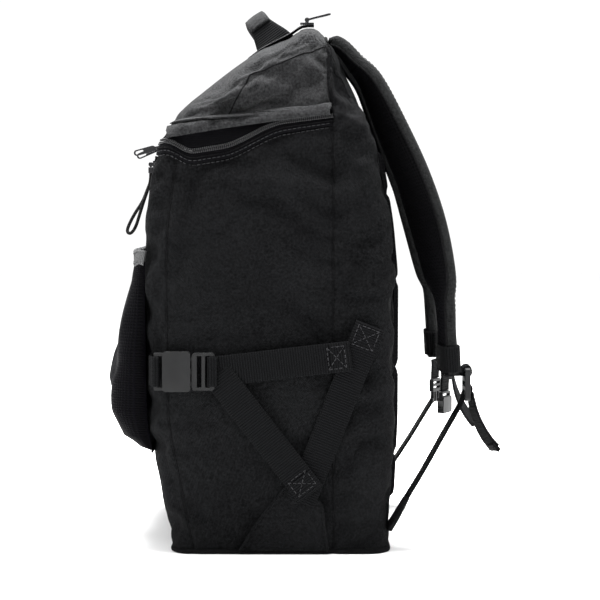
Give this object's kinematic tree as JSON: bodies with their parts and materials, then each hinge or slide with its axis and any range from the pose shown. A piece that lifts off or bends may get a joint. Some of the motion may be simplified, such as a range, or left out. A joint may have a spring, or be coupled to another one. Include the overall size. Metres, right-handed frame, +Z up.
{
  "type": "boot backpack",
  "caption": "Fabric backpack that carries a boot strapped to each side, with a hinged zip lid, mesh front pocket, padded shoulder straps and quick-release side harness.",
  "frame": {"origin": "centre of the whole part's footprint, on the ground under the base", "axes": "+Z up, +X from the pocket side towards the wearer's back, +Y towards the wearer's left"},
  "size_m": [0.3359, 0.3106, 0.4623],
  "materials": {
    "pack_fabric": "coarse woven, matte",
    "lid_fabric": "coarse woven, matte",
    "lining": "plain woven",
    "pad_mesh": "spacer mesh",
    "pocket_mesh": "fine mesh with a sheen",
    "binding": "ribbed elastic tape",
    "webbing": "ribbed woven tape",
    "zip_tape": "fine woven tape with coil",
    "zip_metal": "glossy dark enamel",
    "cord": "braided",
    "buckle_plastic": "satin moulded",
    "stiffener": "plain sheet"
  },
  "bodies": {
    "pack": {"ankle_straps": "webbing", "back_pads": "pad_mesh", "back_panel": "pack_fabric", "base_panel": "pack_fabric", "buckle_socket_left": "buckle_plastic", "buckle_socket_right": "buckle_plastic", "buckle_tabs": "webbing", "frame_sheet": "stiffener", "front_panel": "pack_fabric", "front_zip_tape": "zip_tape", "heel_cradles": "pack_fabric", "mesh_pocket": "pocket_mesh", "pocket_binding": "binding", "rear_gusset_left": "pack_fabric", "rear_gusset_right": "pack_fabric", "side_panel_left": "pack_fabric", "side_panel_right": "pack_fabric", "sleeve_divider": "lining", "strap_web_left": "webbing", "strap_web_right": "webbing", "strap_wings": "pack_fabric", "v_strap_lower_left": "webbing", "v_strap_lower_right": "webbing", "v_strap_upper_left": "webbing", "v_strap_upper_right": "webbing", "zip_track_lower": "zip_tape"},
    "lid": {"lid_top_panel": "lid_fabric", "lid_side_left": "lid_fabric", "lid_side_right": "lid_fabric", "storm_flaps": "pack_fabric", "zip_track_upper": "zip_tape", "lid_zip_tape": "zip_tape", "handle_webbing": "webbing", "handle_grip": "webbing", "handle_feet": "webbing", "lid_slider": "zip_metal"},
    "lid_pull": {"lid_pull": "zip_metal"},
    "front_slider": {"front_slider": "zip_metal"},
    "front_pull": {"front_pull_crimp": "zip_metal", "front_pull_cord": "cord"},
    "main_slider_left": {"main_slider_left": "zip_metal"},
    "main_pull_left": {"main_pull_left": "zip_metal"},
    "harness_plug_left": {"buckle_plug_left": "buckle_plastic", "buckle_arms_left": "buckle_plastic"},
    "strap_left": {"shoulder_strap_left": "pad_mesh", "ladder_lock_left": "buckle_plastic", "strap_tail_left": "webbing"},
    "keeper_left": {"sternum_keeper_left": "webbing"},
    "sternum_half_left": {"sternum_web_left": "webbing", "sternum_plug": "buckle_plastic"},
    "main_slider_right": {"main_slider_right": "zip_metal"},
    "main_pull_right": {"main_pull_right": "zip_metal"},
    "harness_plug_right": {"buckle_plug_right": "buckle_plastic", "buckle_arms_right": "buckle_plastic"},
    "strap_right": {"shoulder_strap_right": "pad_mesh", "ladder_lock_right": "buckle_plastic", "strap_tail_right": "webbing"},
    "keeper_right": {"sternum_keeper_right": "webbing"},
    "sternum_half_right": {"sternum_web_right": "webbing", "sternum_socket": "buckle_plastic"}
  },
  "joints": [
    {"name": "lid_open", "type": "hinge", "parent": "pack", "child": "lid", "pos_m": [0.022, 0, 0.435], "axis": [0, 1, 0], "range_deg": [0, 85]},
    {"name": "lid_pull_flip", "type": "hinge", "parent": "lid", "child": "lid_pull", "pos_m": [0.006, -0.066, 0.4492], "axis": [0, 1, 0], "range_deg": [-150, 0]},
    {"name": "main_zip_right", "type": "slide", "parent": "pack", "child": "main_slider_right", "axis": [0, -1, 0], "range_m": [0, 0.085]},
    {"name": "main_pull_swing_right", "type": "hinge", "parent": "main_slider_right", "child": "main_pull_right", "pos_m": [-0.12461, -0.011, 0.34191], "axis": [-0.1633, 0, 0.9866], "range_deg": [-12, 80]},
    {"name": "main_zip_left", "type": "slide", "parent": "pack", "child": "main_slider_left", "axis": [0, 1, 0], "range_m": [0, 0.085]},
    {"name": "main_pull_swing_left", "type": "hinge", "parent": "main_slider_left", "child": "main_pull_left", "pos_m": [-0.12461, 0.011, 0.34191], "axis": [-0.1633, 0, 0.9866], "range_deg": [-80, 12]},
    {"name": "front_zip", "type": "slide", "parent": "pack", "child": "front_slider", "axis": [0, 1, 0], "range_m": [0, 0.16]},
    {"name": "front_pull_swing", "type": "hinge", "parent": "front_slider", "child": "front_pull", "pos_m": [-0.12641, -0.092, 0.325], "axis": [0, 1, 0], "range_deg": [0, 60]},
    {"name": "harness_release_right", "type": "slide", "parent": "pack", "child": "harness_plug_right", "axis": [1, 0, 0], "range_m": [0, 0.022], "deforming": ["v_strap_upper_right", "v_strap_lower_right", "buckle_arms_right"]},
    {"name": "harness_release_left", "type": "slide", "parent": "pack", "child": "harness_plug_left", "axis": [1, 0, 0], "range_m": [0, 0.022], "deforming": ["v_strap_upper_left", "v_strap_lower_left", "buckle_arms_left"]},
    {"name": "strap_swing_right", "type": "hinge", "parent": "pack", "child": "strap_right", "pos_m": [0.028, -0.058, 0.431], "axis": [0, -1, 0], "range_deg": [0, 8], "deforming": ["strap_web_right"]},
    {"name": "keeper_slide_right", "type": "slide", "parent": "strap_right", "child": "keeper_right", "axis": [-0.0592, 0.0323, 0.9977], "range_m": [0, 0.018]},
    {"name": "sternum_swing_right", "type": "hinge", "parent": "keeper_right", "child": "sternum_half_right", "pos_m": [0.126, -0.059, 0.149], "axis": [0.4226, 0.9063, 0], "range_deg": [-60, 15]},
    {"name": "strap_swing_left", "type": "hinge", "parent": "pack", "child": "strap_left", "pos_m": [0.028, 0.058, 0.431], "axis": [0, -1, 0], "range_deg": [0, 8], "deforming": ["strap_web_left"]},
    {"name": "keeper_slide_left", "type": "slide", "parent": "strap_left", "child": "keeper_left", "axis": [-0.0592, -0.0323, 0.9977], "range_m": [0, 0.018]},
    {"name": "sternum_swing_left", "type": "hinge", "parent": "keeper_left", "child": "sternum_half_left", "pos_m": [0.126, 0.059, 0.149], "axis": [0.4226, 0.9063, 0], "range_deg": [-60, 15]}
  ]
}
